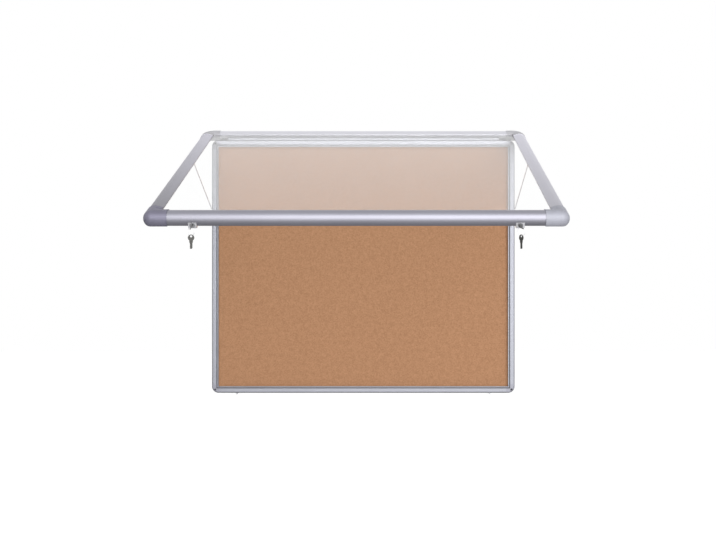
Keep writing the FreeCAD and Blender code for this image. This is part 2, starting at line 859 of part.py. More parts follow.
LOCK_SCREW_ACROSS = "-(lock_block_outer + lock_block_inner) / 2"
LOCK_SCREW_SIDES = {"low": -1, "high": 1}


def door_bottom_rail():
    """The bottom rail, milled at each lock for the block and drilled for its two screws."""
    body, length, placement = door_rail(BOTTOM)
    socket_edge = "%s + notch_gap" % SOCKET_OUTER
    for name, sign in LOCK_SIDES.items():
        middle = "(%s) / 2 + %d * %s" % (length, sign, LOCK_OUT)
        half = "(lock_block_half + notch_gap)"
        wall_low = ("-2 * tube_radius", "-2 * tube_radius", "%s - %s" % (middle, half))
        wall_high = ("-(%s)" % socket_edge, "-lock_notch_start", "%s + %s" % (middle, half))
        box_feature(body, "block_notch_" + name, wall_low, wall_high, False)
        for place, side in LOCK_SCREW_SIDES.items():
            start = (LOCK_SCREW_ACROSS, "-moulding_web", "%s + %d * lock_screw_place" % (middle, side))
            cylinder_feature(body, "lock_screw_%s_%s" % (place, name), start, Y_AXIS,
                             "screw_radius + screw_fit", "2 * moulding_web", False)
    keep_part(body, body.Label, placement)


def quarter_turn(name, section, axis_x):
    """A section carried a quarter turn about an upright axis, from its own plane to the left."""
    turned = doc.addObject("Part::Revolution", name)
    turned.Source = section
    turned.Axis = -Y_AXIS
    bind(turned, "Base.x", axis_x)
    turned.Angle = 90
    turned.Solid = True
    return turned


def door_cap(side):
    """A moulded corner cap: the moulding's outline carried round the corner, with two spigots.

    The two caps on the door's free edge also have a blunt, ball-ended nose outside the bend.
    """
    label = "door_%s_cap" % CORNER_NAMES[side]
    has_nose = side in (BOTTOM, RIGHT)

    def cap_sketch(name, outline):
        sketch = doc.addObject("Sketcher::SketchObject", "%s_%s" % (name, label))
        draw_outline(sketch, outline)
        return sketch

    section = cap_sketch("section", CAP_SECTION)
    wall_section = cap_sketch("wall_section", CAP_WALL)
    doc.recompute()

    def extruded(name, outline, length_side, length):
        straight_part = doc.addObject("Part::Extrusion", "%s_%s" % (name, label))
        straight_part.Base = outline
        straight_part.DirMode = "Normal"
        straight_part.Solid = True
        bind(straight_part, length_side, length)
        return straight_part

    def leg_parts(name, length_side, nose_side, wall_start, spigot_start):
        """One straight leg, its end wall and its spigot, in the rail's own frame."""
        leg = extruded("leg_" + name, section, length_side, CAP_STRAIGHT)
        wall = cylinder("end_wall_%s_%s" % (name, label), ("0", "0", wall_start), Z_AXIS,
                        "tube_radius - tube_wall / 2", "cap_bulkhead")
        wall.Placement.Rotation = FreeCAD.Rotation(Z_AXIS, value("flange_angle"))
        bind(wall, "Angle", "tube_end_angle - flange_angle")
        spigot = cylinder("spigot_%s_%s" % (name, label), ("0", "0", spigot_start), Z_AXIS,
                          "bead_radius - cap_spigot_gap", "cap_bulkhead + cap_spigot")
        parts = [leg, wall, spigot]
        if has_nose:
            parts.append(extruded("nose_leg_" + name, wall_section, nose_side, CAP_TURN))
        return fuse("leg_fused_%s_%s" % (name, label), *parts)

    end_start = CAP_STRAIGHT + " - cap_bulkhead"
    first = leg_parts("first", "LengthFwd", "LengthRev", end_start, end_start)
    second = leg_parts("second", "LengthRev", "LengthFwd", "-" + CAP_STRAIGHT,
                       "-%s - cap_spigot" % CAP_STRAIGHT)
    bend_centre = FreeCAD.Vector(value(CAP_TURN), 0, 0)
    second.Placement = FreeCAD.Placement(
        FreeCAD.Vector(), FreeCAD.Rotation(Y_AXIS, -90), bend_centre)
    if has_nose:
        bend = quarter_turn("bend_" + label, cap_sketch("rib_section", RIB_SECTION), CAP_TURN)
        nose = quarter_turn("nose_" + label, cap_sketch("nose_section", NOSE_SECTION), "0")
        bind(nose, "Placement.Base.z", "-" + CAP_TURN)
        solid = fuse("solid_" + label, first, second, nose, bend)
    else:
        bend = quarter_turn("bend_" + label, section, CAP_TURN)
        solid = fuse("solid_" + label, first, bend, second)
    inset = value("tube_to_case + tube_radius - cap_radius")
    corner = FreeCAD.Vector(
        -half_along(side) - inset, -value("hinge_depth"), -half_across(side) - value("tube_to_case"))
    closed = side_turn(side).multiply(FreeCAD.Placement(corner, RAIL_AXES))
    keep_part(solid, label, SWING.multiply(closed))


# Glazing. Each outline follows the door's opening at a distance inward from the tube's centre line.

def door_outline(across):
    """The door's rounded opening, at a distance inward from the tubes' centre lines."""
    return rounded_rectangle(
        "case_width / 2 + tube_to_case - (%s)" % across,
        "case_height / 2 + tube_to_case - (%s)" % across,
        "cap_radius - tube_radius - (%s)" % across)


GASKET_OUTER = SLOT_FLOOR + " + gasket_gap"
GASKET_FLOOR = GASKET_OUTER + " + gasket_base"
PANE_BACK = "%s + (pane_slot - pane_thick) / 2" % SLOT_BACK


def door_pane():
    body = new_body("door_pane")
    plan = body_sketch(body, "plan", role="XZ_Plane", height="hinge_depth + " + PANE_BACK)
    draw_outline(plan, door_outline(GASKET_FLOOR + " + pane_edge_gap"))
    pad(body, plan, "pane_thick")
    keep_part(body, body.Label, SWING)


def glazing_gasket():
    """A U-shaped strip round the pane's edge."""
    body = new_body("glazing_gasket")
    back = "hinge_depth + %s + gasket_gap" % SLOT_BACK
    plan = body_sketch(body, "plan", role="XZ_Plane", height=back)
    draw_outline(plan, door_outline(GASKET_OUTER))
    draw_outline(plan, door_outline(SLOT_FLOOR + " + gasket_reach"))
    pad(body, plan, "pane_slot - 2 * gasket_gap")
    channel = body_sketch(body, "channel", role="XZ_Plane", height="hinge_depth + " + PANE_BACK)
    draw_outline(channel, door_outline(GASKET_FLOOR))
    pocket(body, channel, "pane_thick", upward=True)
    keep_part(body, body.Label, SWING)


def door_seal():
    """A soft strip on the rear lip, which closes against the front of the case."""
    body = new_body("door_seal")
    back = "case_depth + seal_gap"
    plan = body_sketch(body, "plan", role="XZ_Plane", height=back)
    draw_outline(plan, door_outline("seal_inner - seal_width"))
    draw_outline(plan, door_outline("seal_inner"))
    pad(body, plan, "hinge_depth + flange_back - (%s)" % back)
    keep_part(body, body.Label, SWING)


# Screws

def screw(name, start, direction, length):
    """A countersunk screw whose head lies flush at the start."""
    shank = cylinder("shank_" + name, start, direction, "screw_radius", length)
    head = cone("head_" + name, start, direction, "screw_head", "screw_radius", "screw_sink")
    recess = hexagon("recess_" + name, start, direction, "screw_drive", "screw_sink / 2")
    return cut("screw_" + name, fuse("whole_" + name, shank, head), recess)


def screw_hole(name, start, direction, length):
    """The clearance hole for a screw, with the countersink for its head."""
    hole = cylinder("hole_" + name, start, direction, "screw_radius + screw_fit", length)
    sink = cone("sink_" + name, start, direction, "screw_head + screw_fit", "screw_radius + screw_fit",
                "screw_sink")
    return fuse("drilling_" + name, hole, sink)


def placed(thing, placement):
    thing.Placement = placement
    return thing


# Locks. A lock's own X runs inward along its axis, Y forward and Z to the right,
# from the point of its axis that lies level with the tube's centre line.

BARREL_FACE = "(lock_block_outer + barrel_head)"
PLUG_FACE = "(lock_block_outer + barrel_head + plug_proud)"
BARREL_END = "(cam_level - cam_gap)"
CAM_BACK = "cam_level"
CAM_FRONT = "(cam_level + cam_thick)"
LOCK_REAR = "-(lock_block_back - lock_setback)"
BOW_OUT = "(key_neck + bow_radius - key_bow_overlap)"
KEY_HOLE_OUT = "(%s + bow_radius - key_hole_bridge - key_hole_radius)" % BOW_OUT


def lock_frame(side):
    place = LOCK_SIDES[side] * value(LOCK_OUT)
    axis = FreeCAD.Placement(FreeCAD.Vector(0, -value("lock_setback"), 0), FreeCAD.Rotation())
    return door_frame(BOTTOM, place).multiply(axis)


def bow_angle(side):
    """The key's angle about the lock, from facing forward, as each lock was left."""
    return value("key_angle") if side == "right" else value("key_angle + unlock_turn")


def key_turn(side):
    """The key's own frame, outward along X and flat across Z, in the lock's frame."""
    angle = math.radians(bow_angle(side))
    flat = FreeCAD.Vector(0, math.cos(angle), math.sin(angle))
    across = FreeCAD.Vector(0, -math.sin(angle), math.cos(angle))
    return FreeCAD.Rotation(-X_AXIS, across, flat, "ZXY")


def lock_block(side):
    label = side + "_lock_block"
    front = "lock_setback - moulding_web / 2 - notch_gap"
    block = box("block_" + label, ("-lock_block_outer", LOCK_REAR, "-lock_block_half"),
                ("-lock_block_inner", front, "lock_block_half"))
    bore = cylinder("bore_" + label, ("-2 * lock_block_outer", "0", "0"), X_AXIS,
                    "barrel_radius + barrel_fit", "2 * lock_block_outer")
    holes = []
    for place, sign in LOCK_SCREW_SIDES.items():
        start = (LOCK_SCREW_ACROSS, LOCK_REAR, "%d * lock_screw_place" % sign)
        holes.append(screw_hole("%s_%s" % (place, label), start, Y_AXIS, "2 * lock_block_back"))
    keep_part(cut("cut_" + label, block, bore, *holes), label, lock_frame(side))


def lock_block_screws():
    screws = []
    length = "lock_block_back + moulding_web / 2 + screw_past_web"
    for side in LOCK_SIDES:
        for place, sign in LOCK_SCREW_SIDES.items():
            start = (LOCK_SCREW_ACROSS, LOCK_REAR, "%d * lock_screw_place" % sign)
            name = "%s_%s_lock_block" % (place, side)
            screws.append(placed(screw(name, start, Y_AXIS, length), lock_frame(side)))
    keep_part(group("group_lock_block_screws", screws), "lock_block_screws")


def lock_barrel(side):
    label = side + "_lock_barrel"
    body = cylinder("body_" + label, ("-lock_block_outer", "0", "0"), X_AXIS, "barrel_radius",
                    "lock_block_outer + " + BARREL_END)
    head = cylinder("head_" + label, ("-" + BARREL_FACE, "0", "0"), X_AXIS, "barrel_head_radius",
                    "barrel_head")
    bore = cylinder("bore_" + label, ("-2 * lock_block_outer", "0", "0"), X_AXIS,
                    "plug_radius + plug_fit", "3 * lock_block_outer")
    keep_part(cut("cut_" + label, fuse("whole_" + label, body, head), bore), label, lock_frame(side))


def lock_nut(side):
    label = side + "_lock_nut"
    nut = hexagon("nut_" + label, ("-lock_block_inner", "0", "0"), X_AXIS, "nut_flats", "nut_thick")
    bore = cylinder("bore_" + label, ("-lock_block_outer", "0", "0"), X_AXIS,
                    "barrel_radius + plug_fit", "lock_block_outer")
    keep_part(cut("cut_" + label, nut, bore), label, lock_frame(side))


def lock_plug(side):
    """The turning core: a keyway at its face, and a hexagonal end that carries the cam."""
    label = side + "_lock_plug"
    core = cylinder("core_" + label, ("-" + PLUG_FACE, "0", "0"), X_AXIS, "plug_radius",
                    "%s + %s" % (PLUG_FACE, BARREL_END))
    end = hexagon("end_" + label, (BARREL_END + " - hex_root", "0", "0"), X_AXIS, "hex_flats",
                  "hex_root + cam_thick")
    half_width = "key_width / 2 + keyway_gap"
    half_thick = "key_thick / 2 + keyway_gap"
    keyway = box("keyway_" + label,
                 ("-key_blade - keyway_spare_depth", "-(%s)" % half_width, "-(%s)" % half_thick),
                 ("key_blade", half_width, half_thick))
    turned = group("turned_keyway_" + label, [keyway])
    turned.Placement = FreeCAD.Placement(FreeCAD.Vector(-value(PLUG_FACE), 0, 0), key_turn(side))
    thread = cylinder("thread_" + label, (CAM_FRONT, "0", "0"), -X_AXIS, "cam_screw_radius + screw_fit",
                      "cam_screw_length + screw_fit")
    solid = cut("cut_" + label, fuse("whole_" + label, core, end), turned, thread)
    keep_part(solid, label, lock_frame(side))


def cam_sector(name, side, radius, start_angle, span):
    """A flat sector about the lock's axis, at an angle as it lies when locked, turned to unlocked."""
    sign = LOCK_SIDES[side]
    outward = FreeCAD.Rotation(sign * Z_AXIS, Y_AXIS, -sign * X_AXIS, "ZXY")
    sector = doc.addObject("Part::Cylinder", name)
    turned = outward.multiply(FreeCAD.Rotation(Z_AXIS, value("unlock_turn + " + start_angle)))
    sector.Placement = FreeCAD.Placement(FreeCAD.Vector(), turned)
    bind(sector, "Radius", radius)
    bind(sector, "Height", "cam_thick")
    bind(sector, "Angle", span)
    bind(sector, "Placement.Base.x", CAM_FRONT if sign > 0 else CAM_BACK)
    return sector


def lock_cam(side):
    """A sector with a curved slot, open at its leading edge, that closes round the keep's stud."""
    label = side + "_lock_cam"
    half_slot = "(keep_stud_radius + keep_gap)"
    hub = cam_sector("hub_" + label, side, "cam_root", "0", "360")
    blade = cam_sector("blade_" + label, side, "cam_reach", "cam_lead_angle", "cam_span")
    outer = cam_sector("slot_outer_" + label, side, "keep_reach + " + half_slot,
                       "cam_lead_angle - slot_lead", "keep_angle - cam_lead_angle + slot_lead")
    inner = cam_sector("slot_inner_" + label, side, "keep_reach - " + half_slot, "0", "360")
    slot = cut("slot_" + label, outer, inner)
    stud_place = (
        "-cam_reach", "keep_reach * sin(unlock_turn + keep_angle)",
        "%d * keep_reach * cos(unlock_turn + keep_angle)" % LOCK_SIDES[side])
    slot_end = cylinder("slot_end_" + label, stud_place, X_AXIS, half_slot, "2 * cam_reach")
    hole = hexagon("hole_" + label, ("-cam_reach", "0", "0"), X_AXIS, "hex_flats + 2 * plug_fit",
                   "2 * cam_reach")
    solid = cut("cut_" + label, fuse("whole_" + label, hub, blade), slot, slot_end, hole)
    keep_part(solid, label, lock_frame(side))


def cam_screw(side):
    label = side + "_cam_screw"
    head = cylinder("head_" + label, (CAM_FRONT, "0", "0"), X_AXIS, "cam_screw_head", "cam_screw_head_thick")
    shank = cylinder("shank_" + label, (CAM_FRONT, "0", "0"), -X_AXIS, "cam_screw_radius", "cam_screw_length")
    recess = hexagon("recess_" + label, ("%s + cam_screw_head_thick" % CAM_FRONT, "0", "0"), -X_AXIS,
                     "screw_drive", "cam_screw_head_thick / 2")
    solid = cut("cut_" + label, fuse("whole_" + label, head, shank), recess)
    keep_part(solid, label, lock_frame(side))


def lock_keep(side):
    """A plate under the case's bottom rail, with the stud that the cam takes hold of."""
    label = side + "_lock_keep"
    sign = LOCK_SIDES[side]
    centre = "%d * (%s + %s)" % (sign, LOCK_OUT, KEEP_OUT)
    plate = box("plate_" + label, ("-keep_thick", "keep_base_back", "%s - keep_base_half" % centre),
                ("0", KEEP_STUD_DEPTH + " + keep_stud_radius + keep_thick", "%s + keep_base_half" % centre))
    stud = cylinder("stud_" + label, ("0", KEEP_STUD_DEPTH, centre), -X_AXIS, "keep_stud_radius",
                    "tube_to_case - cam_level + keep_overlap")
    holes = []
    for number, depth in enumerate(KEEP_SCREW_DEPTHS):
        holes.append(screw_hole("%s_%d" % (label, number), ("-keep_thick", depth, centre), X_AXIS,
                                "2 * keep_thick"))
    solid = cut("cut_" + label, fuse("whole_" + label, plate, stud), *holes)
    keep_part(solid, label, case_frame(BOTTOM, 0))


def keep_screws():
    screws = []
    for side, sign in LOCK_SIDES.items():
        centre = "%d * (%s + %s)" % (sign, LOCK_OUT, KEEP_OUT)
        for number, depth in enumerate(KEEP_SCREW_DEPTHS):
            name = "keep_%s_%d" % (side, number)
            length = "keep_thick + case_wall + keep_screw_past"
            screws.append(placed(screw(name, ("-keep_thick", depth, centre), X_AXIS, length),
                                 case_frame(BOTTOM, 0)))
    keep_part(group("group_keep_screws", screws), "keep_screws")


# Keys and rings

BIT_COUNT = 4


def key(label, placement):
    """A flat key. Its own X runs outward from the lock's face, along its middle."""
    body = new_body(label)
    half = "key_width / 2"
    blade = body_sketch(body, "blade", height="-key_thick / 2")
    draw_outline(blade, polygon(
        ("key_neck + key_bow_overlap", half), ("-key_blade + key_tip", half),
        ("-key_blade", half + " - key_tip"), ("-key_blade", "-%s + key_tip" % half),
        ("-key_blade + key_tip", "-" + half), ("key_neck + key_bow_overlap", "-" + half)))
    pad(body, blade, "key_thick")
    bow = body_sketch(body, "bow", height="-key_thick / 2")
    draw_circle(bow, BOW_OUT, "0", "bow_radius")
    pad(body, bow, "key_thick")
    box_feature(body, "shoulder", ("0", "-%s - key_shoulder" % half, "-key_thick / 2"),
                ("key_neck", "%s + key_shoulder" % half, "key_thick / 2"), True)
    cylinder_feature(body, "ring_hole", (KEY_HOLE_OUT, "0", "-key_thick"), Z_AXIS, "key_hole_radius",
                     "2 * key_thick", False)
    for number in range(BIT_COUNT):
        place = "-key_blade + key_tip + bit_pitch * %.1f" % (number + 0.5)
        edge = "%s + %d * bit_step" % (half, number % 2)
        cylinder_feature(body, "bit_%d" % number, (place, edge, "-key_thick"), Z_AXIS, "bit_depth",
                         "2 * key_thick", False)
    keep_part(body, label, placement)


def lock_key(side):
    face = FreeCAD.Placement(FreeCAD.Vector(-value(PLUG_FACE), 0, 0), key_turn(side))
    key(side + "_key", lock_frame(side).multiply(face))


def ring_top(side):
    """Where the ring passes through its key: the middle of the hole, on the lock's axis."""
    outward = value("%s + %s" % (PLUG_FACE, KEY_HOLE_OUT))
    return lock_frame(side).multVec(FreeCAD.Vector(-outward, 0, 0))


def level(angle):
    """A level direction, turned from the board's right towards the viewer."""
    return FreeCAD.Vector(math.cos(math.radians(angle)), -math.sin(math.radians(angle)), 0)


def key_ring(side):
    label = side + "_key_ring"
    ring = doc.addObject("Part::Torus", "ring_" + label)
    bind(ring, "Radius1", "ring_radius")
    bind(ring, "Radius2", "ring_wire")
    centre = ring_top(side) - Z_AXIS * value("ring_radius")
    axis = level(value("ring_angle")).cross(Z_AXIS)
    keep_part(ring, label, FreeCAD.Placement(centre, FreeCAD.Rotation(Z_AXIS, axis)))


def spare_key(side):
    """The spare hangs plumb from the lowest point of the ring, its hole round the wire."""
    flat = level(value("ring_angle + %s_spare_turn" % side))
    turned = FreeCAD.Rotation(Z_AXIS, flat.cross(Z_AXIS), flat, "ZXY")
    hole = ring_top(side) - Z_AXIS * value("2 * ring_radius + spare_drop")
    base = hole - Z_AXIS * value(KEY_HOLE_OUT)
    key(side + "_spare_key", FreeCAD.Placement(base, turned))


# Stays. A rod's own Z runs up it to its pivot, and its own X points out from the board.

STAY_SIDES = {"left": (LEFT, -1), "right": (RIGHT, 1)}
STAY_PLANE = "case_width / 2 + stay_side_gap + stay_radius"
STAY_ACROSS = "tube_to_case - stay_side_gap - stay_radius"


def stay_rod(side):
    label = side + "_stay_rod"
    rod = cylinder("rod_" + label, ("0", "0", "-stay_bend"), -Z_AXIS, "stay_radius",
                   "stay_arm - 2 * stay_bend")
    top_pin = cylinder("top_pin_" + label, ("stay_bend", "0", "0"), X_AXIS, "stay_radius",
                       "stay_top_pin - stay_bend")
    low_pin = cylinder("low_pin_" + label, ("-stay_bend", "0", "-stay_arm"), -X_AXIS, "stay_radius",
                       "stay_low_pin - stay_bend")
    elbows = []
    for name, sign, height in (("top", 1, "-stay_bend"), ("low", -1, "stay_bend - stay_arm")):
        elbow = doc.addObject("Part::Torus", "%s_elbow_%s" % (name, label))
        elbow.Placement.Rotation = FreeCAD.Rotation(sign * Z_AXIS, -sign * X_AXIS, -Y_AXIS, "ZXY")
        bind(elbow, "Radius1", "stay_bend")
        bind(elbow, "Radius2", "stay_radius")
        elbow.Angle3 = 90
        place_feature(elbow, "%d * stay_bend" % sign, "0", height)
        elbows.append(elbow)
    solid = fuse("solid_" + label, rod, top_pin, low_pin, *elbows)
    sign = STAY_SIDES[side][1]
    closed_pivot = FreeCAD.Vector(
        sign * value(STAY_PLANE), -value("hinge_depth"), HINGE_HEIGHT - value("stay_arm"))
    pivot = SWING.multVec(closed_pivot)
    up = (pivot - stay_foot(side)).normalize()
    out = sign * X_AXIS
    keep_part(solid, label, FreeCAD.Placement(pivot, FreeCAD.Rotation(out, up.cross(out), up, "ZXY")))


def stay_foot(side):
    """The rod's lower end, plumb below the hinge."""
    sign = STAY_SIDES[side][1]
    height = HINGE_HEIGHT - value("2 * stay_arm * cos(open_angle)")
    return FreeCAD.Vector(sign * value(STAY_PLANE), -value("hinge_depth"), height)


def stay_slider(side):
    """A block in the case's side rail, on the rod's lower pin."""
    label = side + "_stay_slider"
    inner_face = "stay_side_gap + stay_radius + case_wall + slider_gap"
    outer_face = inner_face + " + slider_thick"
    block = box("block_" + label, ("-(%s)" % outer_face, "-slider_width / 2", "-slider_length / 2"),
                ("-(%s)" % inner_face, "slider_width / 2", "slider_length / 2"))
    bore = cylinder("bore_" + label, ("0", "0", "0"), -X_AXIS, "stay_radius + stay_fit",
                    "%s + 2 * slider_thick" % inner_face)
    out = STAY_SIDES[side][1] * X_AXIS
    turned = FreeCAD.Rotation(out, Z_AXIS.cross(out), Z_AXIS, "ZXY")
    keep_part(cut("cut_" + label, block, bore), label, FreeCAD.Placement(stay_foot(side), turned))


def pivot_frame(side):
    rail, sign = STAY_SIDES[side]
    return door_frame(rail, sign * (HINGE_HEIGHT - value("stay_arm")))


PIVOT_SCREW_START = ("-pivot_screw_place", "-pivot_block_half", "0")


def stay_block(side):
    """The pivot block: it straddles the moulding's web, and the rod's upper pin turns in it."""
    label = side + "_stay_block"
    block = box("block_" + label, ("-pivot_block_back", "-pivot_block_half", "-pivot_block_length / 2"),
                ("pivot_block_half", "pivot_block_half", "pivot_block_length / 2"))
    half_slot = "(moulding_web / 2 + web_gap)"
    slot = box("slot_" + label, ("-2 * pivot_block_back", "-" + half_slot, "-pivot_block_length"),
               ("-(%s)" % SOCKET_OUTER, half_slot, "pivot_block_length"))
    bore = cylinder("bore_" + label, ("2 * pivot_block_half", "0", "0"), -X_AXIS, "stay_radius + stay_fit",
                    "2 * pivot_block_half + stay_top_pin - (%s) + stay_pin_spare" % STAY_ACROSS)
    drilling = screw_hole(label, PIVOT_SCREW_START, Y_AXIS,
                          "pivot_block_half + moulding_web / 2 + screw_past_web + screw_fit")
    keep_part(cut("cut_" + label, block, slot, bore, drilling), label, pivot_frame(side))


def stay_block_screws():
    screws = []
    length = "pivot_block_half + moulding_web / 2 + screw_past_web"
    for side in STAY_SIDES:
        screws.append(placed(screw("pivot_" + side, PIVOT_SCREW_START, Y_AXIS, length), pivot_frame(side)))
    keep_part(group("group_stay_block_screws", screws), "stay_block_screws")


# The whole board

case_top_rail()
case_bottom_rail()
case_side_rail(LEFT)
case_side_rail(RIGHT)
panel("back_panel", "case_flange_thick + panel_gap", "back_sheet")
panel("backing_board", "case_flange_thick + panel_gap + back_sheet", "board_thick")
panel("cork_sheet", "case_flange_thick + panel_gap + back_sheet + board_thick", "cork_thick")
door_top_rail()
door_bottom_rail()
door_side_rail(LEFT)
door_side_rail(RIGHT)
for each_side in (BOTTOM, LEFT, TOP, RIGHT):
    case_corner(each_side)
    door_cap(each_side)
door_pane()
glazing_gasket()
door_seal()
for lock_side in LOCK_SIDES:
    lock_keep(lock_side)
    lock_block(lock_side)
    lock_barrel(lock_side)
    lock_nut(lock_side)
    lock_plug(lock_side)
    lock_cam(lock_side)
    cam_screw(lock_side)
    lock_key(lock_side)
    key_ring(lock_side)
    spare_key(lock_side)
keep_screws()
lock_block_screws()
for stay_side in STAY_SIDES:
    stay_rod(stay_side)
    stay_slider(stay_side)
    stay_block(stay_side)
stay_block_screws()

doc.recompute()
for thing in doc.Objects:
    if "Invalid" in thing.State or "Error" in thing.State:
        raise RuntimeError("%s did not build: %s" % (thing.Label, thing.State))
for thing in PARTS:
    if thing.Shape.isNull() or not thing.Shape.isValid() or not thing.Shape.Solids:
        raise RuntimeError("%s is not a sound solid" % thing.Label)
for thing in PARTS:
    thing.Shape.exportStep("parts/%s.step" % thing.Label)
print("%d sub-parts written" % len(PARTS))
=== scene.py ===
"""Looks for the lockable notice board: materials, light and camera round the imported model.

Lengths are in metres. X runs to the right, Z up, and the viewer stands at -Y of the wall.
"""

import math

import bmesh
import bpy
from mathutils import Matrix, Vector


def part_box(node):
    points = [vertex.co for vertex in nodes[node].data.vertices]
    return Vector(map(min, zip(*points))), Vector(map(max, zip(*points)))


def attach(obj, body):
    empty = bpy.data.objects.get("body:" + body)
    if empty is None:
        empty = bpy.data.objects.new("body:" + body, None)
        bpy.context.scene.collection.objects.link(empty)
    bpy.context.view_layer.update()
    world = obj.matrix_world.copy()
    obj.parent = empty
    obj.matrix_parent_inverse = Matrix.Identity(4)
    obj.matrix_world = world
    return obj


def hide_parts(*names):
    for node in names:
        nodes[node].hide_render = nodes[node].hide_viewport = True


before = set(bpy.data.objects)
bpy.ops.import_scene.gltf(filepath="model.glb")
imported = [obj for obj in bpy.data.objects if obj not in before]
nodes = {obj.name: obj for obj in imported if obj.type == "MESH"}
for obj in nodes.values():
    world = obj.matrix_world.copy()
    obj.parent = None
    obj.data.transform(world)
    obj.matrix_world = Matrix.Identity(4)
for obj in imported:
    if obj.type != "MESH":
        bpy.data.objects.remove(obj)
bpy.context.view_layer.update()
scene = bpy.context.scene

SIDES = ("left", "right")
WHITE = (1.0, 1.0, 1.0)


# Shader building

# The sockets of a mix node that carry colours: the names are shared with those for numbers
MIX_AMOUNT, MIX_FIRST, MIX_SECOND, MIX_RESULT = 0, 6, 7, 2

# Most values of a noise texture lie between these
NOISE_LOW, NOISE_HIGH = 0.3, 0.7


class Graph:
    """A node tree being built."""

    def __init__(self, tree):
        self.tree = tree

    def feed(self, socket, value):
        """Link an input to an output, or give it a value of its own."""
        if isinstance(value, bpy.types.NodeSocket):
            self.tree.links.new(value, socket)
        elif socket.type == "RGBA":
            socket.default_value = (*value, 1.0)
        else:
            socket.default_value = value

    def node(self, kind, inputs=None, **settings):
        """A new node, with its inputs fed by name or by number."""
        made = self.tree.nodes.new(kind)
        for key, value in settings.items():
            setattr(made, key, value)
        for key, value in (inputs or {}).items():
            self.feed(made.inputs[key], value)
        return made

    def larger(self, first, second):
        """The larger of two outputs."""
        made = self.node("ShaderNodeMath", {0: first, 1: second}, operation="MAXIMUM")
        return made.outputs["Value"]

    def seen_by_eye(self, *more):
        """One for a ray that the eye follows, straight, through the pane or as named, else 0."""
        path = self.node("ShaderNodeLightPath")
        seen = path.outputs["Is Camera Ray"]
        for name in ("Is Transmission Ray", *more):
            seen = self.larger(seen, path.outputs[name])
        return seen


class Shader(Graph):
    """A material being built on the Principled shader."""

    def __init__(self, name):
        self.material = bpy.data.materials.new(name)
        self.material.use_nodes = True
        super().__init__(self.material.node_tree)
        self.surface = self.tree.nodes["Principled BSDF"]
        coordinates = self.node("ShaderNodeTexCoord")
        self.place = coordinates.outputs["Object"]      # in metres, along the frame's axes
        self.box = coordinates.outputs["Generated"]     # from 0 to 1 across the piece

    def set(self, name, value):
        """Feed an input of the Principled shader."""
        self.feed(self.surface.inputs[name], value)

    def mapped(self, vector, name, value):
        """Coordinates changed by a Scale or a Rotation."""
        made = self.node("ShaderNodeMapping", {"Vector": vector, name: value})
        return made.outputs["Vector"]

    def noise(self, scale, detail=3.0, roughness=0.55, vector=None):
        """Noise over the piece's place, or over other coordinates."""
        made = self.node("ShaderNodeTexNoise", {
            "Scale": scale, "Detail": detail, "Roughness": roughness,
            "Vector": vector or self.place})
        return made.outputs["Fac"]

    def cells(self, scale):
        """A pattern of grains, with the outputs Color and Distance."""
        made = self.node("ShaderNodeTexVoronoi", {"Scale": scale, "Vector": self.place})
        return made.outputs

    def ramp(self, factor, *stops):
        """A colour ramp of (position, colour) stops."""
        made = self.node("ShaderNodeValToRGB", {"Fac": factor})
        while len(made.color_ramp.elements) < len(stops):
            made.color_ramp.elements.new(0.5)
        for element, (position, colour) in zip(made.color_ramp.elements, stops):
            element.position = position
            element.color = (*colour, 1.0)
        return made.outputs["Color"]

    def spread(self, noise, low, high):
        """A noise's usual range carried to another range of numbers."""
        made = self.node("ShaderNodeMapRange", {
            "Value": noise, "From Min": NOISE_LOW, "From Max": NOISE_HIGH,
            "To Min": low, "To Max": high})
        return made.outputs["Result"]

    def multiply(self, amount, first, second):
        """The first colour multiplied by the second, to the amount given."""
        made = self.node("ShaderNodeMix",
                         {MIX_AMOUNT: amount, MIX_FIRST: first, MIX_SECOND: second},
                         data_type="RGBA", blend_type="MULTIPLY")
        return made.outputs[MIX_RESULT]

    def bump(self, height, distance, strength, under=None):
        """A bump, over another one where that is given."""
        inputs = {"Height": height, "Distance": distance, "Strength": strength}
        if under is not None:
            inputs["Normal"] = under
        return self.node("ShaderNodeBump", inputs).outputs["Normal"]


def shade(colour, part):
    """A colour at a part of its brightness."""
    return tuple(channel * part for channel in colour)


# Materials

def anodised(name, colour, grain_scale, tilt=0.0, metallic=1.0, painted_shade_far_end=1.0):
    """Satin anodised extrusion: fine drawing lines along its length, and faint cloudiness.

    A tilted length is turned back by tilt, about X, to lie along Z. Where a far-end tone is given,
    the piece darkens from the hinge to the end away from it as painted shade; that tone is a part
    of the tone at the hinge.
    """
    made = Shader(name)
    straight = made.mapped(made.place, "Rotation", (tilt, 0, 0)) if tilt else made.place
    grain = made.noise(1.0, detail=2.0, vector=made.mapped(straight, "Scale", grain_scale))
    clouds = made.noise(9.0, detail=4.0)
    tone = made.ramp(grain, (0.35, shade(colour, 0.93)), (0.65, colour))
    # Painted shade: darker from the hinge end to the far end
    if painted_shade_far_end != 1.0:
        along = made.node("ShaderNodeSeparateXYZ", {"Vector": made.box}).outputs["Y"]
        painted_shade_ramp = made.ramp(along, (0.0, shade(WHITE, painted_shade_far_end)), (1.0, WHITE))
        tone = made.multiply(1.0, tone, painted_shade_ramp)
    cloudy = made.ramp(clouds, (0.3, (0.86, 0.86, 0.87)), (0.7, WHITE))
    made.set("Base Color", made.multiply(0.25, tone, cloudy))
    made.set("Metallic", metallic)
    made.set("Roughness", made.spread(grain, low=0.45, high=0.53))
    made.set("Normal", made.bump(grain, distance=0.00002, strength=0.5))
    return made.material


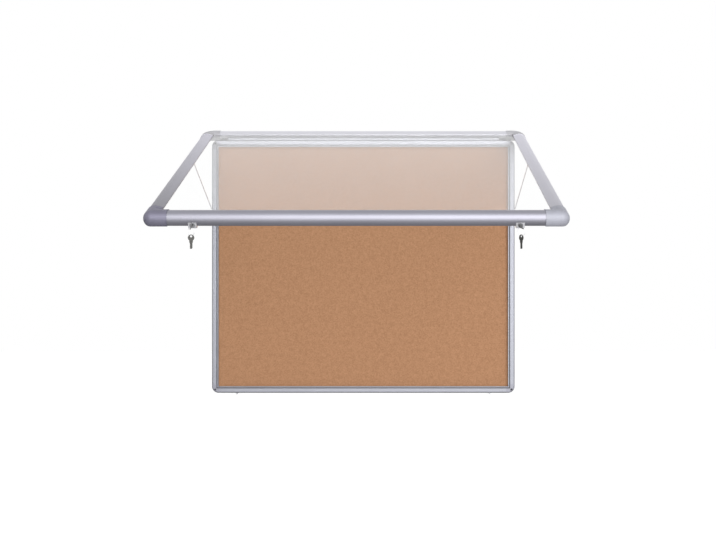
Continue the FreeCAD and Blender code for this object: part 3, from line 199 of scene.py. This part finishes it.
def moulded(name, colour, roughness=(0.42, 0.52), metallic=0.0):
    """Moulded plastic with a fine spark-eroded texture and slight scuffing."""
    made = Shader(name)
    scuffs = made.noise(35.0, detail=6.0)
    texture = made.noise(900.0, detail=2.0)
    made.set("Base Color", made.ramp(scuffs, (0.3, shade(colour, 0.9)), (0.6, colour)))
    made.set("Metallic", metallic)
    made.set("Roughness", made.spread(scuffs, *roughness))
    made.set("Normal", made.bump(texture, distance=0.00005, strength=0.35))
    return made.material


def bright_metal(name, colour, roughness=(0.16, 0.3), scratch_scale=(300.0, 300.0, 40.0)):
    """Plated or polished metal with faint scratches."""
    made = Shader(name)
    scratches = made.noise(1.0, detail=4.0,
                           vector=made.mapped(made.place, "Scale", scratch_scale))
    clouds = made.noise(60.0, detail=3.0)
    made.set("Base Color", made.ramp(clouds, (0.3, shade(colour, 0.88)), (0.7, colour)))
    made.set("Metallic", 1.0)
    made.set("Roughness", made.spread(scratches, *roughness))
    made.set("Normal", made.bump(scratches, distance=0.00003, strength=0.3))
    return made.material


def cork():
    """Pressed granulated cork: grains a few millimetres across, dark flecks and soft patches."""
    made = Shader("pressed_cork")
    grains = made.cells(260.0)
    flecks = made.noise(420.0, detail=5.0, roughness=0.7)
    patches = made.noise(62.0, detail=2.0)
    clouds = made.noise(5.0, detail=4.0)
    tone = made.ramp(grains["Color"], (0.1, (0.43, 0.222, 0.117)), (0.5, (0.48, 0.252, 0.136)),
                     (0.9, (0.525, 0.282, 0.155)))
    for amount, marks in (
            (0.24, made.ramp(flecks, (0.28, (0.45, 0.38, 0.33)), (0.42, WHITE))),
            (0.55, made.ramp(patches, (0.32, (0.87, 0.86, 0.84)), (0.62, WHITE))),
            (0.15, made.ramp(clouds, (0.3, (0.9, 0.89, 0.88)), (0.7, WHITE)))):
        tone = made.multiply(amount, tone, marks)
    made.set("Base Color", tone)
    made.set("Roughness", 0.9)
    made.set("Specular IOR Level", 0.2)
    coarse = made.bump(grains["Distance"], distance=0.0003, strength=0.5)
    made.set("Normal", made.bump(flecks, distance=0.0002, strength=0.5, under=coarse))
    return made.material


def fibreboard():
    """Brown pressed board with its fibres lying flat."""
    made = Shader("fibreboard")
    fibres = made.noise(1.0, detail=6.0,
                        vector=made.mapped(made.place, "Scale", (180.0, 400.0, 60.0)))
    made.set("Base Color", made.ramp(fibres, (0.3, (0.30, 0.20, 0.12)), (0.7, (0.47, 0.33, 0.21))))
    made.set("Roughness", 0.85)
    made.set("Normal", made.bump(fibres, distance=0.0002, strength=0.4))
    return made.material


def galvanised():
    """Zinc-coated sheet steel with its spangle."""
    made = Shader("galvanised_sheet")
    spangle = made.cells(90.0)["Color"]
    made.set("Base Color", made.ramp(spangle, (0.2, (0.42, 0.43, 0.45)),
                                     (0.8, (0.56, 0.57, 0.59))))
    made.set("Metallic", 0.85)
    made.set("Roughness", made.spread(made.noise(40.0), low=0.35, high=0.5))
    return made.material


def rubber(name, colour):
    """Soft extruded rubber with a little dust on it."""
    made = Shader(name)
    dust = made.noise(120.0, detail=5.0)
    made.set("Base Color", made.ramp(dust, (0.35, shade(colour, 0.8)), (0.65, colour)))
    made.set("Roughness", made.spread(dust, low=0.55, high=0.75))
    made.set("Normal", made.bump(dust, distance=0.0001, strength=0.4))
    return made.material


def clear_sheet():
    """Clear acrylic with faint surface marks, which lets the lamp's light through to the cork."""
    made = Shader("clear_sheet")
    made.set("Base Color", shade(WHITE, 0.995))
    made.set("Transmission Weight", 1.0)
    made.set("IOR", 1.4)
    marks = made.noise(80.0, detail=4.0, roughness=0.6)
    made.set("Roughness", made.spread(marks, low=0.0, high=0.003))
    path = made.node("ShaderNodeLightPath").outputs
    clear = made.node("ShaderNodeBsdfTransparent", {"Color": (0.93, 0.94, 0.94)})
    choice = made.node("ShaderNodeMixShader", {
        "Fac": made.larger(path["Is Shadow Ray"], path["Is Diffuse Ray"]),
        1: made.surface.outputs["BSDF"], 2: clear.outputs["BSDF"]})
    made.feed(made.tree.nodes["Material Output"].inputs["Surface"], choice.outputs["Shader"])
    return made.material


def dress(material, *names):
    """Give CAD nodes a material, in all of their slots."""
    for name in names:
        for each in nodes[name].material_slots:
            each.material = material


DOOR_LIFT = math.radians(68.8)      # from closed to the photograph's position

# Scales for the drawing lines: long features one way, fine ones across
ALONG_X = (2.0, 1600.0, 1600.0)
ALONG_Z = (1600.0, 1600.0, 2.0)

# The door's tones hold painted light and shade: the aluminium is lighter at the hinge and on the
# right arm, and darker on the left and towards the near end. The cap plastic is lighter above and
# on the right, and darker on the left.
CASE_ALUMINIUM = (0.31, 0.315, 0.35)
DOOR_ALUMINIUM = (0.315, 0.312, 0.356)
HINGE_ALUMINIUM_PAINTED_LIGHT = (0.7, 0.7, 0.745)
LEFT_ARM_PAINTED_LIGHT_AND_SHADE = (0.72, 0.71, 0.79)
RIGHT_ARM_PAINTED_LIGHT_AND_SHADE = (0.8, 0.79, 0.87)
UPPER_CAP_PAINTED_LIGHT = (0.66, 0.655, 0.69)
LEFT_CAP_PAINTED_SHADE = (0.2, 0.193, 0.255)
RIGHT_CAP_PAINTED_LIGHT = (0.385, 0.39, 0.445)

dress(anodised("case_anodised_across", CASE_ALUMINIUM, ALONG_X),
      "case_top_rail", "case_bottom_rail")
dress(anodised("case_anodised_upright", CASE_ALUMINIUM, ALONG_Z),
      "case_left_rail", "case_right_rail")
dress(moulded("corner_grey", (0.30, 0.30, 0.345), metallic=0.6),
      "case_top_left_corner", "case_top_right_corner",
      "case_bottom_left_corner", "case_bottom_right_corner")
dress(cork(), "cork_sheet")
dress(fibreboard(), "backing_board")
dress(galvanised(), "back_panel")

# Painted light and shade: lighter and darker copies of one aluminium and one plastic, set by where
# the light fell
dress(anodised("door_anodised_hinge_painted_light", HINGE_ALUMINIUM_PAINTED_LIGHT, ALONG_X), "door_top_rail")
dress(anodised("door_anodised_near", DOOR_ALUMINIUM, ALONG_X), "door_bottom_rail")
dress(anodised("door_anodised_left_painted_light_and_shade", LEFT_ARM_PAINTED_LIGHT_AND_SHADE, ALONG_Z,
               tilt=DOOR_LIFT, metallic=0.5, painted_shade_far_end=0.4), "door_left_rail")
dress(anodised("door_anodised_right_painted_light_and_shade", RIGHT_ARM_PAINTED_LIGHT_AND_SHADE, ALONG_Z,
               tilt=DOOR_LIFT, metallic=0.5, painted_shade_far_end=0.64), "door_right_rail")
dress(moulded("upper_cap_painted_light", UPPER_CAP_PAINTED_LIGHT, roughness=(0.5, 0.6)),
      "door_top_left_cap", "door_top_right_cap")
dress(moulded("left_cap_painted_shade", LEFT_CAP_PAINTED_SHADE, metallic=0.5), "door_bottom_left_cap")
dress(moulded("right_cap_painted_light", RIGHT_CAP_PAINTED_LIGHT, roughness=(0.5, 0.6), metallic=0.2),
      "door_bottom_right_cap")
dress(clear_sheet(), "door_pane")
dress(rubber("gasket_grey", (0.55, 0.55, 0.57)), "glazing_gasket")
dress(rubber("seal_grey", (0.32, 0.32, 0.34)), "door_seal")

chrome = bright_metal("satin_chrome", (0.4, 0.4, 0.42))
alloy = bright_metal("lock_alloy", (0.68, 0.68, 0.71), roughness=(0.3, 0.45))
nickel = bright_metal("dark_nickel", (0.07, 0.069, 0.066), roughness=(0.46, 0.56),
                      scratch_scale=(500.0, 500.0, 60.0))
steel = bright_metal("stay_steel", (0.82, 0.82, 0.86), roughness=(0.42, 0.5))
zinc = bright_metal("zinc_steel", (0.45, 0.45, 0.47), roughness=(0.3, 0.42))
stay_grey = moulded("stay_grey", (0.3, 0.3, 0.32))
dress(zinc, "keep_screws", "lock_block_screws", "stay_block_screws")
for side in SIDES:
    dress(chrome, side + "_lock_plug", side + "_lock_barrel", side + "_lock_nut")
    dress(alloy, side + "_lock_block")
    dress(nickel, side + "_key", side + "_spare_key")
    dress(steel, side + "_stay_rod", side + "_key_ring")
    dress(zinc, side + "_lock_keep", side + "_lock_cam", side + "_cam_screw")
    dress(stay_grey, side + "_stay_block", side + "_stay_slider")


# Pieces that the solids leave plain

def add_object(name, data):
    """A new object in the scene."""
    made = bpy.data.objects.new(name, data)
    scene.collection.objects.link(made)
    return made


def level(angle):
    """A level direction, turned from the board's right towards the viewer, in degrees."""
    return Vector((math.cos(math.radians(angle)), -math.sin(math.radians(angle)), 0.0))


def prism_loop(name, rings):
    """A closed mesh through rings of points, each joined to the next and the last to the first."""
    mesh = bpy.data.meshes.new(name)
    count = len(rings[0])
    points = [point for ring in rings for point in ring]
    faces = []
    for ring in range(len(rings)):
        after = (ring + 1) % len(rings)
        for index in range(count):
            following = (index + 1) % count
            faces.append((ring * count + index, ring * count + following,
                          after * count + following, after * count + index))
    mesh.from_pydata(points, [], faces)
    mesh.update()
    return add_object(name, mesh)


CASE_HALF_WIDTH, CASE_HALF_HEIGHT = 0.564, 0.470
STRIP_INSET, STRIP_WIDTH = 0.0172, 0.0036       # in from the case's outside, and across
STRIP_FLOOR_Y, STRIP_CROWN_Y = -0.0307, -0.0328
STRIP_SHOULDER = 0.0006                         # the width of a rounded edge
STRIP_SIDE_DROP, STRIP_SHOULDER_DROP = 0.0008, 0.0002       # behind the crown


def lay_painted_groove_shadow():
    """A near-black strip in the groove along the front of the case: painted shade standing for the
    groove's shadow.
    """
    inner = STRIP_INSET + STRIP_WIDTH
    side_y = STRIP_CROWN_Y + STRIP_SIDE_DROP
    shoulder_y = STRIP_CROWN_Y + STRIP_SHOULDER_DROP
    section = ((STRIP_INSET, STRIP_FLOOR_Y), (STRIP_INSET, side_y),
               (STRIP_INSET + STRIP_SHOULDER, shoulder_y),
               (STRIP_INSET + STRIP_WIDTH / 2, STRIP_CROWN_Y),
               (inner - STRIP_SHOULDER, shoulder_y), (inner, side_y), (inner, STRIP_FLOOR_Y))
    corners = ((-1, -1), (1, -1), (1, 1), (-1, 1))
    rings = [[(x * (CASE_HALF_WIDTH - across), y, z * (CASE_HALF_HEIGHT - across))
              for across, y in section] for x, z in corners]
    strip = prism_loop("case_groove_painted_shadow", rings)
    # Painted shade: the strip's near-black rubber darkens the groove where its shadow falls
    strip.data.materials.append(rubber("charcoal_painted_shadow", (0.11, 0.11, 0.12)))
    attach(strip, "case")


RING_FACING = 25.0          # the way a ring lies, as in level()
RING_RADIUS = 0.0115
COIL_WIRE = 0.00034         # the wire's radius
COIL_ENDS = (18, 702)       # degrees along the wire
COIL_STEP = 4
COIL_START_TURN = 50        # where on the ring the wire's degrees start
CROSSING_START, CROSSING_SPAN = 345, 30     # where the first turn passes to the second


def split_ring(side):
    """A flattened coil of two turns side by side, with a short step from one to the other."""
    name = side + "_key_ring"
    low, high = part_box(name)
    centre = (low + high) / 2
    across = level(RING_FACING)
    up = Vector((0, 0, 1))
    normal = across.cross(up)
    curve = bpy.data.curves.new(side + "_split_ring", "CURVE")
    curve.dimensions = "3D"
    curve.bevel_depth = COIL_WIRE
    curve.bevel_resolution = 4
    curve.use_fill_caps = True
    coil = curve.splines.new("POLY")
    start, end = COIL_ENDS
    angles = range(start, end + 1, COIL_STEP)
    coil.points.add(len(angles) - 1)
    for point, angle in zip(coil.points, angles):
        passed = min(max((angle - CROSSING_START) / CROSSING_SPAN, 0.0), 1.0)
        aside = COIL_WIRE * (2 * passed - 1)
        turn = math.radians(angle + COIL_START_TURN)
        outward = math.cos(turn) * across + math.sin(turn) * up
        point.co = (*(centre + RING_RADIUS * outward + aside * normal), 1.0)
    ring = add_object(side + "_split_ring", curve)
    ring.data.materials.append(nodes[name].material_slots[0].material)
    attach(ring, side + "_ring")
    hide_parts(name)


SPARE_FACING = {"left": 75.0, "right": 47.0}    # the way a spare's flat face looks, as in level()
CHANNEL_ASIDE = 0.0009              # from the middle of the blade to the middle of a channel
CHANNEL_FLOOR = (0.0005, 0.0005)    # half the width there, and how far out of the blade's middle
CHANNEL_MOUTH = (0.0010, 0.0012)    # the same, just clear of the blade's face
CHANNEL_LENGTH = 0.0205             # up from the key's tip
CHANNEL_TOP_WIDTH = 0.6             # as a part of the width at the tip
CUTTER_OVERRUN = 0.001              # below the tip


def groove_cutter(side):
    """Two long prisms that mill a channel down each face of a spare key's blade."""
    low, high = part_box(side + "_spare_key")
    pivot = (low + high) / 2
    facing = level(SPARE_FACING[side])
    along = facing.cross(Vector((0, 0, 1)))
    (mouth, mouth_out), (floor, floor_out) = CHANNEL_MOUTH, CHANNEL_FLOOR
    section = ((-mouth, mouth_out), (-floor, floor_out), (floor, floor_out), (mouth, mouth_out))
    count = len(section)
    points, faces = [], []
    for face in (1, -1):
        start = len(points)
        for height, width in ((low.z - CUTTER_OVERRUN, 1.0),
                              (low.z + CHANNEL_LENGTH, CHANNEL_TOP_WIDTH)):
            for aside, out in section:
                place = (pivot + along * (face * CHANNEL_ASIDE + aside * width)
                         + facing * face * out)
                points.append((place.x, place.y, height))
        tip = [start + index for index in range(count)]
        top = [start + count + index for index in range(count)]
        faces.extend([tip, top[::-1]])
        for index in range(count):
            after = (index + 1) % count
            faces.append([tip[after], tip[index], top[index], top[after]])
    mesh = bpy.data.meshes.new("cutter")
    mesh.from_pydata(points, [], faces)
    shape = bmesh.new()
    shape.from_mesh(mesh)
    bmesh.ops.recalc_face_normals(shape, faces=shape.faces)
    shape.to_mesh(mesh)
    shape.free()
    return add_object("cutter", mesh)


EDGE_EASE = 0.00015
SHARP_EDGE = math.radians(40)


def finished_key(node, body, cutter=None):
    """A key with its edges eased and, on a spare, its blade milled."""
    piece = add_object(node + "_milled", nodes[node].data.copy())
    if cutter is not None:
        milled = piece.modifiers.new("milled", "BOOLEAN")
        milled.operation = "DIFFERENCE"
        milled.object = cutter
    eased = piece.modifiers.new("eased", "BEVEL")
    eased.width = EDGE_EASE
    eased.segments = 2
    eased.limit_method = "ANGLE"
    eased.angle_limit = SHARP_EDGE
    shaped = piece.evaluated_get(bpy.context.evaluated_depsgraph_get())
    mesh = bpy.data.meshes.new_from_object(shaped)
    piece.modifiers.clear()
    piece.data = mesh
    if cutter is not None:
        bpy.data.objects.remove(cutter)
    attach(piece, body)
    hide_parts(node)


lay_painted_groove_shadow()
for side in SIDES:
    split_ring(side)
    finished_key(side + "_key", side + "_lock")
    finished_key(side + "_spare_key", side + "_spare", groove_cutter(side))


# Floor, background, light and camera

FLOOR_HEIGHT = -1.3
FLOOR_SIZE = 24.0
FLOOR_GLOW = 0.8            # what the eye sees added to the light that falls on the floor
WORLD_LEVEL = 0.2           # the world's strength as a light


def lay_floor():
    """A pale floor under the board, which the eye sees nearly white, with the board's shadow."""
    bpy.ops.mesh.primitive_plane_add(size=FLOOR_SIZE, location=(0, 0, FLOOR_HEIGHT))
    floor = bpy.context.object
    floor.name = "floor"
    made = Shader("floor_white")
    made.set("Base Color", shade(WHITE, 0.82))
    made.set("Roughness", 0.9)
    made.set("Emission Color", WHITE)
    glow = made.node("ShaderNodeMath", {0: made.seen_by_eye(), 1: FLOOR_GLOW},
                     operation="MULTIPLY")
    made.set("Emission Strength", glow.outputs["Value"])
    floor.data.materials.append(made.material)


def light_world():
    """A world that is white to the eye and in reflections, and a dim light otherwise."""
    world = bpy.data.worlds.new("soft_white")
    scene.world = world
    world.use_nodes = True
    made = Graph(world.node_tree)
    strength = made.node("ShaderNodeMapRange", {
        "Value": made.seen_by_eye("Is Glossy Ray"), "To Min": WORLD_LEVEL, "To Max": 1.0})
    background = made.tree.nodes["Background"]
    made.feed(background.inputs["Color"], WHITE)
    made.feed(background.inputs["Strength"], strength.outputs["Result"])


def add_softbox(name, place, target, width, height, power):
    """A rectangular area lamp that faces a target."""
    data = bpy.data.lights.new(name, "AREA")
    data.shape = "RECTANGLE"
    data.size = width
    data.size_y = height
    data.energy = power
    lamp = add_object(name, data)
    lamp.location = place
    lamp.rotation_mode = "QUATERNION"
    lamp.rotation_quaternion = (Vector(target) - Vector(place)).to_track_quat("-Z", "Y")


def set_camera():
    """The photograph's view: level, a little right of the board's middle."""
    data = bpy.data.cameras.new("camera")
    data.lens = 49.8
    data.sensor_width = 36.0
    data.shift_x = -0.037
    camera = add_object("camera", data)
    camera.location = (0.079, -3.723, -0.012)
    camera.rotation_euler = (math.radians(90), 0, 0)
    scene.camera = camera


lay_floor()
light_world()
add_softbox("front_softbox", place=(1.1, -5.2, 1.3), target=(0, -0.4, 0.1),
            width=5.8, height=5.0, power=305.0)
set_camera()
scene.view_settings.view_transform = "Standard"
